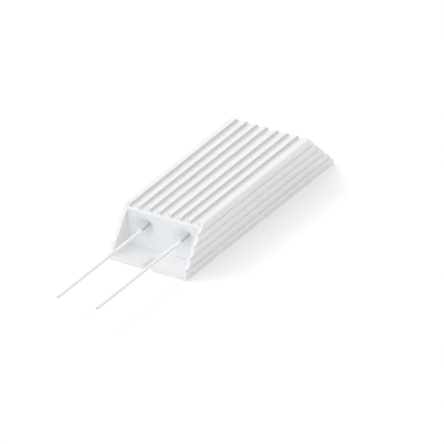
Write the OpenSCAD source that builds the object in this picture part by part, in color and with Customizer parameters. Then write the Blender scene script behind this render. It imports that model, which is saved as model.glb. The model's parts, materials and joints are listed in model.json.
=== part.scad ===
// Aluminium housed power resistor. Two wire-wound ceramic cores lie side by side in one ribbed
// aluminium extrusion, potted in cement, with both leads at one end.
// Z is up, Y runs along the extrusion with the leads at -Y, and the origin is the middle of the
// mounting face.

/* [Housing] */
// Length of the mounting face
base_l = 165; // [155:1:200]
// Length along the tops of the ribs
top_l = 118; // [100:1:135]
// Width over the side ribs
body_w = 60; // [56:1:75]
// Height over the top ribs
body_h = 30; // [28:1:40]
// Thickness of the base plate
base_t = 3; // [2:0.5:5]
// Side wall between the cavity and the side grooves
wall_t = 1.6; // [1.2:0.1:2.5]
// Roof between the cavity and the top grooves
roof_t = 1; // [0.8:0.1:2.5]
// Radius of the cavity's corners
cavity_r = 1; // [0.5:0.1:2]

/* [Top ribs] */
// Width of one rib
rib_w = 2.8; // [1.5:0.1:3.5]
// Depth of the grooves between the ribs
rib_depth = 2.2; // [1:0.1:3]
// Distance from one rib's middle to the next
rib_pitch = 7.6; // [6:0.1:10]
// Distance between the two middle ribs
middle_pitch = 8.3; // [6:0.1:12]
// Width of the rib along each top corner
corner_rib_w = 4.4; // [2.5:0.1:6]
// Radius of the ribs' edges
rib_edge_r = 0.35; // [0.1:0.05:0.6]
// Radius of the housing's top corners
corner_r = 1; // [0.5:0.1:1.5]

/* [Side ribs] */
// Height of the middle of the lowest side groove
side_first = 5.4; // [4.5:0.1:7]
// Distance from one side groove to the next
side_pitch = 6.1; // [5:0.1:8]
// Width of a side groove at its mouth
side_groove_w = 2; // [1:0.1:3.5]
// Width of a side groove at its floor
side_floor_w = 0.9; // [0.5:0.1:1]
// Depth of the side grooves
side_depth = 1.4; // [0.8:0.1:2]
// Radius of the side ribs' edges
side_edge_r = 1.9; // [0.3:0.1:3]

/* [Mounting slots] */
// Width of the open slot in each end of the base plate
slot_w = 6.5; // [4:0.1:8]
// Distance between the middles of the slots' round ends
slot_span = 148; // [140:0.5:180]

/* [Cement] */
// Distance of the cement's face inside the roof's sloping edge
face_depth = 0.5; // [0.2:0.1:4]
// How far the cement spreads over the base plate at the foot of its face
foot_l = 2.5; // [0.5:0.1:4]
// Radius of the dish in the cement's face round each lead
dish_r = 9.5; // [7:0.1:9.5]
// Depth of that dish
dish_depth = 6; // [2:0.1:7]
// Cement between the bottom of a dish and the core's cap
end_cover = 6.3; // [5:0.1:9]

/* [Cores] */
// Diameter of each ceramic core
core_d = 10; // [6:0.5:12]
// Distance between the two cores
core_span = 30; // [24:0.5:32]
// Height of the cores above the mounting face
core_z = 15.5; // [12:0.5:18]
// Diameter of the resistance wire
wire_d = 1.2; // [0.6:0.1:1.6]
// Wall of the caps on the cores' ends
cap_wall = 0.6; // [0.4:0.1:1]
// Length of core inside a cap
cap_depth = 7; // [4:0.5:12]
// Thickness of a cap's end
cap_t = 1.2; // [0.8:0.1:2]
// How far the pin that carries a lead stands out of the bottom of a dish
pin_stand = 3.5; // [2:0.1:4]
// Length of the pin that holds the joining strip
link_pin_l = 1.5; // [1.5:0.1:3]
// Width of the strip that joins the two cores
link_w = 5; // [3:0.5:8]
// Thickness of that strip
link_t = 0.8; // [0.5:0.1:1.5]

/* [Leads] */
// Diameter over the insulation of a lead
lead_d = 2.2; // [1.8:0.1:3]
// Diameter of the conductor in a lead
wire_core_d = 1.2; // [0.8:0.1:1.4]
// Length of lead beyond the base plate
lead_reach = 76.3; // [20:0.1:150]
// Length of bare conductor at a lead's free end
bare_l = 0.5; // [0.2:0.1:10]
// Length of the ferrule that joins a lead to a cap's pin
ferrule_l = 13; // [9:0.5:14]
// Wall of that ferrule
ferrule_wall = 0.33; // [0.2:0.01:0.4]

/* [Hidden] */
$fn = 48;
over = 1;        // how far a cutting shape runs past what it cuts
arc_step = 15;   // degrees between the points of an arc

half_w = body_w / 2;
cavity_w = body_w - 2 * (side_depth + wall_t);
roof_z = body_h - rib_depth - roof_t;
cut_run = (base_l - top_l) / 2 / (body_h - base_t);            // run of the sloping cut per unit of height
face_y = top_l / 2 + cut_run * (body_h - roof_z) - face_depth;  // the cement's face
dish_y = face_y - dish_depth;                                   // the bottom of a dish
cap_y = dish_y - end_cover;                                     // outer face of a cap
core_l = 2 * (cap_y - cap_t);
winding_l = core_l - 2 * cap_depth;
winding_r = core_d / 2 + wire_d;
cap_r = core_d / 2 + cap_wall;
pin_r = wire_core_d / 2;
ferrule_r = pin_r + ferrule_wall;
pin_l = end_cover + pin_stand;
butt_y = cap_y + pin_l;                                         // where a cap's pin meets its lead
ferrule_near = butt_y - ferrule_l / 2;
ferrule_far = butt_y + ferrule_l / 2;
lead_end = base_l / 2 + lead_reach;

// ---- Outlines with rounded corners ----

// The vector of length 1 along v
function unit(v) = v / norm(v);

// The arc that rounds corner b, [x, y, radius], and touches the sides to corners a and c
function corner_arc(a, b, c) =
    let (at = [b.x, b.y],
         back = unit([a.x, a.y] - at),
         ahead = unit([c.x, c.y] - at),
         half = acos(back * ahead) / 2,
         middle = at + unit(back + ahead) * b.z / sin(half),
         first = at + back * b.z / tan(half) - middle,
         last = at + ahead * b.z / tan(half) - middle,
         start = atan2(first.y, first.x),
         swing = atan2(first.x * last.y - first.y * last.x, first * last),
         steps = ceil(abs(swing) / arc_step))
    [for (i = [0:steps]) middle + b.z * [cos(start + swing * i / steps), sin(start + swing * i / steps)]];

// A closed outline from a list of corners [x, y, radius], sharp where the radius is 0
function rounded(corners) =
    let (n = len(corners))
    [for (i = [0:n - 1])
        each corners[i].z == 0 ? [[corners[i].x, corners[i].y]]
            : corner_arc(corners[(i + n - 1) % n], corners[i], corners[(i + 1) % n])];

// The corners of a right half, followed by their mirror image
function both_halves(right) =
    concat(right, [for (i = [len(right) - 1:-1:0]) [-right[i].x, right[i].y, right[i].z]]);

// ---- Housing ----

// The arcs at a side groove's lips are no longer than the groove's wall or half a rib
side_wall = [side_depth, (side_groove_w - side_floor_w) / 2];
lip_room = min(norm(side_wall), (side_pitch - side_groove_w) / 2);
lip_r = min(side_edge_r, lip_room / tan(atan2(side_wall.x, side_wall.y) / 2));

side_top = body_h - corner_r - side_groove_w / 2 - lip_r;
side_n = floor((side_top - side_first) / side_pitch) + 1;
rib_room = half_w - corner_rib_w - rib_w - middle_pitch / 2;
rib_n = floor(rib_room / rib_pitch) + 1;

// One side groove, from its lower lip to its upper lip
function side_groove(z) = [
    [half_w, z - side_groove_w / 2, lip_r],
    [half_w - side_depth, z - side_floor_w / 2, 0],
    [half_w - side_depth, z + side_floor_w / 2, 0],
    [half_w, z + side_groove_w / 2, lip_r]];

// One top rib about x, from its right foot to its left foot
function top_rib(x) = [
    [x + rib_w / 2, body_h - rib_depth, rib_edge_r],
    [x + rib_w / 2, body_h, rib_edge_r],
    [x - rib_w / 2, body_h, rib_edge_r],
    [x - rib_w / 2, body_h - rib_depth, rib_edge_r]];

section_right = concat(
    [[half_w, 0, 0]],
    [for (i = [0:side_n - 1]) each side_groove(side_first + i * side_pitch)],
    [[half_w, body_h, corner_r],
     [half_w - corner_rib_w, body_h, rib_edge_r],
     [half_w - corner_rib_w, body_h - rib_depth, rib_edge_r]],
    [for (i = [rib_n - 1:-1:0]) each top_rib(middle_pitch / 2 + i * rib_pitch)]);

cavity_right = [[cavity_w / 2, base_t, cavity_r], [cavity_w / 2, roof_z, cavity_r]];

// An outline in X and Z, carried along Y by the given length about the middle
module along_y(outline, length) {
    rotate([90, 0, 0]) linear_extrude(height = length, center = true) polygon(outline);
}

// An outline in Y and Z, carried across X by the given width about the middle
module across_x(outline, width) {
    rotate([90, 0, 90]) linear_extrude(height = width, center = true) polygon(outline);
}

// The long side view: an upright edge on the base plate, then sloping cuts up to the ribs
side_view = [[-base_l / 2, 0], [base_l / 2, 0], [base_l / 2, base_t], [top_l / 2, body_h],
             [-top_l / 2, body_h], [-base_l / 2, base_t]];

// A slot that opens through one end of the base plate
module slot(end) {
    reach = (base_l - slot_span) / 2 + over;
    translate([0, end * slot_span / 2, -over]) {
        cylinder(d = slot_w, h = base_t + 2 * over);
        translate([-slot_w / 2, end > 0 ? 0 : -reach, 0]) cube([slot_w, reach, base_t + 2 * over]);
    }
}

module housing() {
    color("gainsboro") difference() {
        intersection() {
            along_y(rounded(both_halves(section_right)), base_l + 2 * over);
            across_x(side_view, body_w + 2 * over);
        }
        along_y(rounded(both_halves(cavity_right)), base_l + 4 * over);
        for (end = [-1, 1]) slot(end);
    }
}

// ---- Cement ----

foot_fade = 2;                          // height in which the foot shrinks to about a third
foot_heights = [0, 0.8, 1.8, 3, 4.6, 7];
dish_steps = [[1, 0], [0.8, 0.16], [0.6, 0.42], [0.4, 0.72], [0.2, 0.93]];   // shares of radius, depth
dish_flare = [1.5, foot_l];             // how the cut for a dish widens in front of the face

// One end of the cement seen from the side, from its foot up to the roof
face_view = concat(
    [for (h = foot_heights) [face_y + foot_l * exp(-h / foot_fade), base_t + h]],
    [[face_y, roof_z]]);

// The cement seen from the side
fill_view = concat(face_view, [for (i = [len(face_view) - 1:-1:0]) [-face_view[i].x, face_view[i].y]]);

module cement_fill() {
    color("whitesmoke") difference() {
        intersection() {
            along_y(rounded(both_halves(cavity_right)), base_l);
            across_x(fill_view, body_w);
        }
        for (side = [-1, 1]) at_core(side) core_string_space();
        link_blank();
    }
}

// The room that one core with its caps, pin and ferrule takes up in the cement, and the dish in front
module core_string_space() {
    turned(concat(
        [[0, -face_y - dish_flare.y], [dish_r + dish_flare.x, -face_y - dish_flare.y]],
        [for (step = dish_steps) [step.x * dish_r, step.y * dish_depth - face_y]],
        [[ferrule_r, -dish_y], [ferrule_r, -ferrule_near], [pin_r, -ferrule_near], [pin_r, -cap_y],
         [cap_r, -cap_y], [cap_r, -winding_l / 2], [winding_r, -winding_l / 2],
         [winding_r, winding_l / 2], [cap_r, winding_l / 2], [cap_r, cap_y],
         [pin_r, cap_y], [pin_r, cap_y + link_pin_l], [0, cap_y + link_pin_l]]));
}

// ---- Cores ----

// Moves what lies along Y onto the left (-1) or right (1) core's axis
module at_core(side) {
    translate([side * core_span / 2, 0, core_z]) children();
}

// A cylinder along Y from one place to another
module barrel(r, from, to) {
    translate([0, max(from, to), 0]) rotate([90, 0, 0]) cylinder(r = r, h = abs(to - from));
}

// A profile of [radius, y] points turned about Y
module turned(profile) {
    rotate([-90, 0, 0]) rotate_extrude() polygon(profile);
}

module core() {
    color("antiquewhite") barrel(core_d / 2, -core_l / 2, core_l / 2);
}

turn_n = floor(winding_l / wire_d);
turn_pitch = winding_l / turn_n;

// Close turns of wire, each a rounded ridge over the core
module winding() {
    ridges = [for (i = [0:turn_n - 1], a = [0:45:180])
        if (i == 0 || a > 0)
            [core_d / 2 + wire_d / 2 + wire_d / 2 * sin(a),
             -winding_l / 2 + turn_pitch * (i + (1 - cos(a)) / 2)]];
    color("silver") turned(concat([[core_d / 2, -winding_l / 2]], ridges, [[core_d / 2, winding_l / 2]]));
}

// A cap pressed over one end of a core, with a pin on its axis
module cap(end, pin) {
    color("goldenrod") difference() {
        union() {
            barrel(cap_r, end * winding_l / 2, end * cap_y);
            barrel(pin_r, end * (cap_y - over / 2), end * (cap_y + pin));
        }
        barrel(core_d / 2, end * (winding_l / 2 - over), end * core_l / 2);
    }
}

// The joining strip's outline in one piece, without its holes
module link_blank() {
    translate([-core_span / 2, cap_y, core_z - link_w / 2]) cube([core_span, link_t, link_w]);
    for (side = [-1, 1]) at_core(side) barrel(link_w / 2, cap_y, cap_y + link_t);
}

module link_strip() {
    color("darkgoldenrod") difference() {
        link_blank();
        for (side = [-1, 1]) at_core(side) barrel(pin_r, cap_y - over, cap_y + link_t + over);
    }
}

// ---- Leads ----

// A tube along Y about its own middle line
module tube(outer_r, inner_r, from, to) {
    difference() {
        barrel(outer_r, from, to);
        barrel(inner_r, min(from, to) - over, max(from, to) + over);
    }
}

module ferrule() {
    color("gray") tube(ferrule_r, pin_r, -ferrule_far, -ferrule_near);
}

module conductor() {
    color("silver") barrel(pin_r, -lead_end, -butt_y);
}

module insulation() {
    color("whitesmoke") tube(lead_d / 2, pin_r, -lead_end + bare_l, -ferrule_far);
}

housing();
cement_fill();
at_core(-1) core();  // core_left
at_core(1) core();  // core_right
at_core(-1) winding();  // winding_left
at_core(1) winding();  // winding_right
at_core(-1) cap(-1, pin_l);  // lead_cap_left
at_core(1) cap(-1, pin_l);  // lead_cap_right
at_core(-1) cap(1, link_pin_l);  // link_cap_left
at_core(1) cap(1, link_pin_l);  // link_cap_right
link_strip();
at_core(-1) ferrule();  // ferrule_left
at_core(1) ferrule();  // ferrule_right
at_core(-1) conductor();  // conductor_left
at_core(1) conductor();  // conductor_right
at_core(-1) insulation();  // insulation_left
at_core(1) insulation();  // insulation_right
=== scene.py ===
import json
import math

import bpy
import numpy as np
from mathutils import Matrix, Vector


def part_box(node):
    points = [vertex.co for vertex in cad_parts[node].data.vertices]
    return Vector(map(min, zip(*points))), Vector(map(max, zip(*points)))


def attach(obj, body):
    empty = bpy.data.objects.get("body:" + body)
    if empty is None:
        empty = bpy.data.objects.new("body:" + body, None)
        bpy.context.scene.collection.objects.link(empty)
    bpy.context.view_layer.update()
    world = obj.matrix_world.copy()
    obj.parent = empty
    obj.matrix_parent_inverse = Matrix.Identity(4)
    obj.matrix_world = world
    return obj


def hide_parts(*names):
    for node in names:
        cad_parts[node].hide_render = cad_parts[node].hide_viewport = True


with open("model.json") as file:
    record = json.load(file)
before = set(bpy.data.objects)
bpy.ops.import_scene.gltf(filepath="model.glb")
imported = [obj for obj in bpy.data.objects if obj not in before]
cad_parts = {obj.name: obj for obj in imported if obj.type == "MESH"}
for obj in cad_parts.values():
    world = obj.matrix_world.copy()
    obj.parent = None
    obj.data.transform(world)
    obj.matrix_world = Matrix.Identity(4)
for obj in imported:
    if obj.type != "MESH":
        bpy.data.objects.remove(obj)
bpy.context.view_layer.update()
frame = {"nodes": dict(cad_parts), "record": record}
mm = 0.001


def direction(azimuth, elevation):
    # Towards a place seen from the origin, in degrees: azimuth 0 is -Y and 90 is +X
    az, el = math.radians(azimuth), math.radians(elevation)
    return Vector((math.sin(az) * math.cos(el), -math.cos(az) * math.cos(el), math.sin(el)))


def addObject(name, data):
    item = bpy.data.objects.new(name, data)
    bpy.context.scene.collection.objects.link(item)
    return item


# A parallel view from above the lead end, turned a few degrees about its own line of sight
cameraSetup = {
    "azimuth": 36.64,                 # degrees round from looking along +Y
    "elevation": 30.0,                # degrees above the floor
    "roll": 4.62,                     # degrees that upright edges lean in the view
    "span": 0.2793,                   # width of the view
    "aim": (0.78 * mm, -6.74 * mm),   # the view's middle from the origin, across and up
    "distance": 0.9,
    "clip": (0.01, 20),               # nearest and farthest thing seen
}


def makeCamera(setup):
    roll = math.radians(setup["roll"])
    back = direction(setup["azimuth"], setup["elevation"])
    right = direction(setup["azimuth"] + 90, 0)
    up = back.cross(right)
    turnedRight = right * math.cos(roll) - up * math.sin(roll)
    turnedUp = right * math.sin(roll) + up * math.cos(roll)
    data = bpy.data.cameras.new("camera")
    data.type = "ORTHO"
    data.ortho_scale = setup["span"]
    data.clip_start, data.clip_end = setup["clip"]
    data.dof.use_dof = False
    camera = addObject("camera", data)
    across, above = setup["aim"]
    place = turnedRight * across + turnedUp * above + back * setup["distance"]
    axes = Matrix((turnedRight, turnedUp, back)).transposed().to_4x4()
    camera.matrix_world = Matrix.Translation(place) @ axes
    bpy.context.scene.camera = camera


makeCamera(cameraSetup)
bpy.context.scene.view_settings.view_transform = "Standard"
print("camera placed")


class Tree:
    # A node tree that adds nodes with their settings, links and constants in one call

    def __init__(self, tree):
        self.tree = tree

    def add(self, kind, inputs=None, **settings):
        node = self.tree.nodes.new(kind)
        for name, value in settings.items():
            setattr(node, name, value)
        self.fill(node, inputs or {})
        return node

    def fill(self, node, inputs):
        for name, value in inputs.items():
            if isinstance(value, bpy.types.NodeSocket):
                self.tree.links.new(value, node.inputs[name])
            else:
                node.inputs[name].default_value = value

    def math(self, operation, *values):
        return self.add("ShaderNodeMath", dict(enumerate(values)), operation=operation).outputs[0]

    def showsBackground(self):
        # 1 for the camera's own rays and those that metal or glass sends on, 0 for all others
        path = self.add("ShaderNodeLightPath").outputs
        mirrored = self.math("MAXIMUM", path["Is Camera Ray"], path["Is Glossy Ray"])
        return self.math("MAXIMUM", mirrored, path["Is Transmission Ray"])


def newMaterial(name):
    material = bpy.data.materials.new(name)
    material.use_nodes = True
    return material, Tree(material.node_tree), material.node_tree.nodes["Principled BSDF"]


floorSetup = {
    "size": 6.0,
    "color": (0.93, 0.93, 0.93, 1),
    "lift": 0.10,   # light that is seen but lights nothing, so that the open floor is white
}


def makeFloor(setup):
    half = setup["size"] / 2
    corners = [(-half, -half, 0), (half, -half, 0), (half, half, 0), (-half, half, 0)]
    mesh = bpy.data.meshes.new("floor")
    mesh.from_pydata(corners, [], [(0, 1, 2, 3)])
    material, tree, shader = newMaterial("floorWhite")
    tree.fill(shader, {
        "Base Color": setup["color"],
        "Roughness": 1.0,
        "Specular IOR Level": 0.0,
        "Emission Color": (1, 1, 1, 1),
        "Emission Strength": tree.math("MULTIPLY", tree.showsBackground(), setup["lift"]),
    })
    mesh.materials.append(material)
    addObject("floor", mesh)


makeFloor(floorSetup)

skySetup = {
    "even": 0.44,      # the same from everywhere
    "lobes": [         # azimuth, elevation, sharpness and strength of each brighter part
        (0, 90, 4, 0.85),
        (225, 35, 8, 0.50),
        (0, 25, 8, 0.80),
        (320, 30, 8, 0.25),
    ],
    "seen": 1.0,       # what shows past the floor
}


def makeSky(setup):
    # An even sky plus soft lobes: each falls off with a power of the cosine of the angle from its
    # middle. The background itself shows as plain white.
    world = bpy.data.worlds.new("sky")
    world.use_nodes = True
    bpy.context.scene.world = world
    tree = Tree(world.node_tree)
    where = tree.add("ShaderNodeTexCoord").outputs["Generated"]
    total = setup["even"]
    for azimuth, elevation, sharpness, strength in setup["lobes"]:
        near = tree.add("ShaderNodeVectorMath", {0: where, 1: direction(azimuth, elevation)},
                        operation="DOT_PRODUCT")
        lobe = tree.math("POWER", tree.math("MAXIMUM", near.outputs["Value"], 0.0), sharpness)
        total = tree.math("MULTIPLY_ADD", lobe, strength, total)
    strength = tree.add("ShaderNodeMix", {
        "Factor": tree.showsBackground(), "A": total, "B": setup["seen"]})
    tree.fill(world.node_tree.nodes["Background"], {
        "Color": (1, 1, 1, 1), "Strength": strength.outputs["Result"]})


makeSky(skySetup)

lampSetup = {
    "from": (266, 47),   # azimuth and elevation
    "strength": 0.50,
    "angle": 22,         # degrees across the soft lamp
}


def makeLamp(setup):
    data = bpy.data.lights.new("softLamp", "SUN")
    data.energy = setup["strength"]
    data.angle = math.radians(setup["angle"])
    lamp = addObject("softLamp", data)
    lamp.rotation_mode = "QUATERNION"
    lamp.rotation_quaternion = direction(*setup["from"]).to_track_quat("Z", "Y")


makeLamp(lampSetup)
print("floor, sky and lamp made")


def newGroup(name, inputs, outputs):
    # inputs and outputs are {name: socket type}
    group = bpy.data.node_groups.new(name, "ShaderNodeTree")
    for side, sockets in (("INPUT", inputs), ("OUTPUT", outputs)):
        for socket, kind in sockets.items():
            group.interface.new_socket(socket, in_out=side, socket_type="NodeSocket" + kind)
    tree = Tree(group)
    return group, tree, tree.add("NodeGroupInput").outputs, tree.add("NodeGroupOutput")


grainSetup = {
    "detail": 3.0,
    "roughness": 0.6,          # how much of the noise is fine
    "height": 0.05 * mm,       # of the relief at a Relief of 1
}


def makeGrainGroup(setup):
    # Fine lines or specks: noise in object coordinates, stretched by Scale, moves the colour's
    # brightness, the roughness and the height a little either way. Dim darkens the colour with
    # painted shade.
    group, tree, given, out = newGroup(
        "grain",
        {"Color": "Color", "Roughness": "Float", "Scale": "Vector", "Shade": "Float",
         "Wear": "Float", "Relief": "Float", "Dim": "Float"},
        {"Color": "Color", "Roughness": "Float", "Normal": "Vector"})
    place = tree.add("ShaderNodeTexCoord").outputs["Object"]
    stretched = tree.add("ShaderNodeVectorMath", {0: place, 1: given["Scale"]},
                         operation="MULTIPLY")
    noise = tree.add("ShaderNodeTexNoise", {
        "Vector": stretched.outputs[0], "Scale": 1.0,
        "Detail": setup["detail"], "Roughness": setup["roughness"]}).outputs["Fac"]
    swing = tree.math("SUBTRACT", noise, 0.5)
    shaded = tree.math("MULTIPLY_ADD", swing, given["Shade"], 1.0)
    color = tree.add("ShaderNodeHueSaturation", {
        "Color": given["Color"], "Value": tree.math("SUBTRACT", shaded, given["Dim"])})
    bump = tree.add("ShaderNodeBump", {
        "Height": noise, "Strength": given["Relief"], "Distance": setup["height"]})
    tree.fill(out, {
        "Color": color.outputs[0],
        "Roughness": tree.math("MULTIPLY_ADD", swing, given["Wear"], given["Roughness"]),
        "Normal": bump.outputs[0],
    })
    return group


grain = makeGrainGroup(grainSetup)

# Painted shade: the ribs' sides are darkened between their tops and the groove floors, where shade
# falls
grooveShadeSetup = {
    "depth": 2.2 * mm,     # from the ribs' tops to the floors
    "side": 2.0 * mm,      # the housing's own sides, this far in, have none
    "paintedShade": 0.16,           # how much painted shade darkens the middle of a flank
}


def makeGrooveShadeGroup(setup):
    # Painted shade in the grooves: with f as the share of the way down from the ribs' tops to the
    # floors,
    # Dim is 4 f (1 - f) of its full value, so that it is 0 at both and below them. Near the
    # housing's sides it is 0.
    group, tree, given, out = newGroup("paintedGrooveShade", {}, {"Dim": "Float"})
    place = tree.add("ShaderNodeSeparateXYZ", {
        0: tree.add("ShaderNodeTexCoord").outputs["Object"]}).outputs
    right, _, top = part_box("housing")[1]
    down = tree.add("ShaderNodeMapRange", {
        "Value": place["Z"], "From Min": top, "From Max": top - setup["depth"]}).outputs[0]
    share = tree.math("MULTIPLY", down, tree.math("SUBTRACT", 1.0, down))
    within = tree.math("LESS_THAN", tree.math("ABSOLUTE", place["X"]), right - setup["side"])
    scaled = tree.math("MULTIPLY", within, 4 * setup["paintedShade"])
    tree.fill(out, {"Dim": tree.math("MULTIPLY", share, scaled)})
    return group


paintedGrooveShade = makeGrooveShadeGroup(grooveShadeSetup)

# Finishes by material slot. scale is in cycles per metre along X, Y and Z. The colour is darkened
# by painted shade from a node group or from a mesh attribute.
finishes = {
    # The housing's colour is darkened with painted shade on the ribs' sides
    "housing_aluminium": {"color": (0.915, 0.92, 0.93), "metallic": 0.25, "roughness": 0.38,
                          "scale": (2500, 12, 2500), "shade": 0.03, "wear": 0.10,
                          "relief": 0.05, "paintedShadeGroup": paintedGrooveShade},
    # The cement's colour is darkened with painted shade by the side walls and in the dishes
    "potting_cement": {"color": (0.93, 0.955, 0.97), "metallic": 0.0, "roughness": 0.85,
                       "scale": (1400, 1400, 1400), "shade": 0.12, "wear": 0.1,
                       "relief": 0.5, "paintedShadeAttribute": "paintedCementShade"},
    "core_ceramic": {"color": (0.87, 0.84, 0.76), "metallic": 0.0, "roughness": 0.8,
                     "scale": (1200, 1200, 1200), "shade": 0.08, "wear": 0.1, "relief": 0.3},
    "resistance_wire": {"color": (0.42, 0.40, 0.38), "metallic": 0.9, "roughness": 0.45,
                        "scale": (900, 900, 900), "shade": 0.3, "wear": 0.3, "relief": 0.1},
    "cap_metal": {"color": (0.62, 0.61, 0.58), "metallic": 0.9, "roughness": 0.4,
                  "scale": (600, 2500, 600), "shade": 0.15, "wear": 0.2, "relief": 0.1},
    "link_brass": {"color": (0.72, 0.55, 0.26), "metallic": 1.0, "roughness": 0.35,
                   "scale": (60, 2500, 2500), "shade": 0.15, "wear": 0.2, "relief": 0.1},
    "ferrule_metal": {"color": (0.66, 0.66, 0.67), "metallic": 0.4, "roughness": 0.5,
                      "scale": (1500, 300, 1500), "shade": 0.3, "wear": 0.2, "relief": 0.2},
    "tinned_copper": {"color": (0.72, 0.71, 0.69), "metallic": 0.8, "roughness": 0.35,
                      "scale": (3000, 60, 3000), "shade": 0.2, "wear": 0.2, "relief": 0.1},
    "wire_insulation": {"color": (0.97, 0.97, 0.97), "metallic": 0.0, "roughness": 0.4,
                        "scale": (500, 120, 500), "shade": 0.06, "wear": 0.1, "relief": 0.05},
}


def makeFinish(slot, look):
    material, tree, shader = newMaterial(slot)
    group = tree.add("ShaderNodeGroup", node_tree=grain)
    tree.fill(group, {
        "Color": (*look["color"], 1), "Roughness": look["roughness"], "Scale": look["scale"],
        "Shade": look["shade"], "Wear": look["wear"], "Relief": look["relief"],
    })
    # Painted shade, from a node group or a mesh attribute, darkens the colour
    if "paintedShadeGroup" in look:
        paintedShadeNode = tree.add("ShaderNodeGroup", node_tree=look["paintedShadeGroup"])
        tree.fill(group, {"Dim": paintedShadeNode.outputs["Dim"]})
    if "paintedShadeAttribute" in look:
        painted = tree.add("ShaderNodeAttribute", attribute_name=look["paintedShadeAttribute"])
        tree.fill(group, {"Dim": painted.outputs["Fac"]})
    tree.fill(shader, {
        "Base Color": group.outputs["Color"], "Roughness": group.outputs["Roughness"],
        "Normal": group.outputs["Normal"], "Metallic": look["metallic"],
    })
    return material


materials = {slot: makeFinish(slot, look) for slot, look in finishes.items()}
for part in frame["record"]["subparts"]:
    mesh = frame["nodes"][part["node"]].data
    mesh.materials.clear()
    mesh.materials.append(materials[part["material_slot"]])
print("finishes made")

# The cement as seen in the sloping ends: a face just inside the roof's edge, with a dish round each
# lead. Lengths are in millimetres, waves in radians per millimetre.
cementSetup = {
    "foot": 2.5, "footFade": 2.0,       # how far it spreads over the base plate, in what height
    "creep": 0.9, "creepFade": 1.3,     # how far it climbs along the side walls, in what width
    "dishRadius": 9.5, "dishDepth": 6.0,
    "ripple": 0.15,                     # height of the slight waves
    "waveX": 0.6, "waveZ": 0.5, "waveStart": 0.8,
    "bend": 1.3, "bendZ": 0.4,          # how far the waves across wander, and how fast, in Z
    "dishPaintedShade": 0.05,                    # painted shade in the dishes
    "wallPaintedShade": 0.10, "wallFade": 2.5,   # painted shade by the side walls, and in what width
    "columns": 217, "rows": 95,
}


def dishShape(x, z, setup):
    # Half a cosine wave round each lead: 1 at its axis and 0 from the dish's rim outwards
    lead = sum(map(np.array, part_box("ferrule_right"))) / 2 / mm
    away = np.hypot(np.abs(x) - lead[0], z - lead[2]) / setup["dishRadius"]
    return (1 + np.cos(np.pi * np.minimum(away, 1))) / 2


def faceDistance(x, z, setup, dished):
    # The face is flat, pushed outwards towards the base plate and the side walls by terms that
    # fade exponentially, drawn in by the dishes, and uneven by the product of two sine waves
    low, high = (np.array(corner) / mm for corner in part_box("cement_fill"))
    y = high[1] - setup["foot"] * (1 - np.exp((low[2] - z) / setup["footFade"]))
    y += setup["creep"] * np.exp((np.abs(x) - high[0]) / setup["creepFade"])
    if dished:
        y -= setup["dishDepth"] * dishShape(x, z, setup)
    across = np.sin(setup["waveX"] * x + setup["bend"] * np.sin(setup["bendZ"] * z))
    return y + setup["ripple"] * across * np.sin(setup["waveZ"] * z + setup["waveStart"])


def makeCement(setup):
    # A closed block: one grid for each face, joined along their rims by the cavity's four sides
    low, high = (np.array(corner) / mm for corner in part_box("cement_fill"))
    x = np.linspace(low[0], high[0], setup["columns"])
    z = np.linspace(low[2], high[2], setup["rows"])
    gridX, gridZ = np.meshgrid(x, z)
    leadFace = -faceDistance(gridX, gridZ, setup, True)
    farFace = faceDistance(gridX, gridZ, setup, False)
    points = np.concatenate([
        np.stack([gridX, y, gridZ], -1).reshape(-1, 3) for y in (leadFace, farFace)])
    index = np.arange(gridX.size).reshape(gridX.shape)
    cells = np.stack([index[:-1, :-1], index[:-1, 1:], index[1:, 1:], index[1:, :-1]], -1)
    cells = cells.reshape(-1, 4)
    rim = np.concatenate([index[0, :-1], index[:-1, -1], index[-1, :0:-1], index[:0:-1, 0]])
    ahead = np.roll(rim, -1)
    sides = np.stack([ahead, rim, rim + index.size, ahead + index.size], -1)
    faces = np.concatenate([cells, cells[:, ::-1] + index.size, sides])
    mesh = bpy.data.meshes.new("cement_block")
    mesh.from_pydata((points * mm).tolist(), [], faces.tolist())
    mesh.polygons.foreach_set("use_smooth", np.arange(len(faces)) < 2 * len(cells))
    # Painted shade: the cement is darker by the side walls and in the dishes, where shade falls
    shadeByWall = setup["wallPaintedShade"] * np.exp((np.abs(gridX) - high[0]) / setup["wallFade"])
    shadeInDish = setup["dishPaintedShade"] * dishShape(gridX, gridZ, setup)
    paintedCementShade = mesh.attributes.new("paintedCementShade", "FLOAT", "POINT")
    paintedCementShade.data.foreach_set("value", np.concatenate([shadeByWall + shadeInDish, shadeByWall]).ravel())
    mesh.materials.append(materials["potting_cement"])
    block = addObject("cement_block", mesh)
    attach(block, "root")
    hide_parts("cement_fill")


makeCement(cementSetup)
print("cement made")
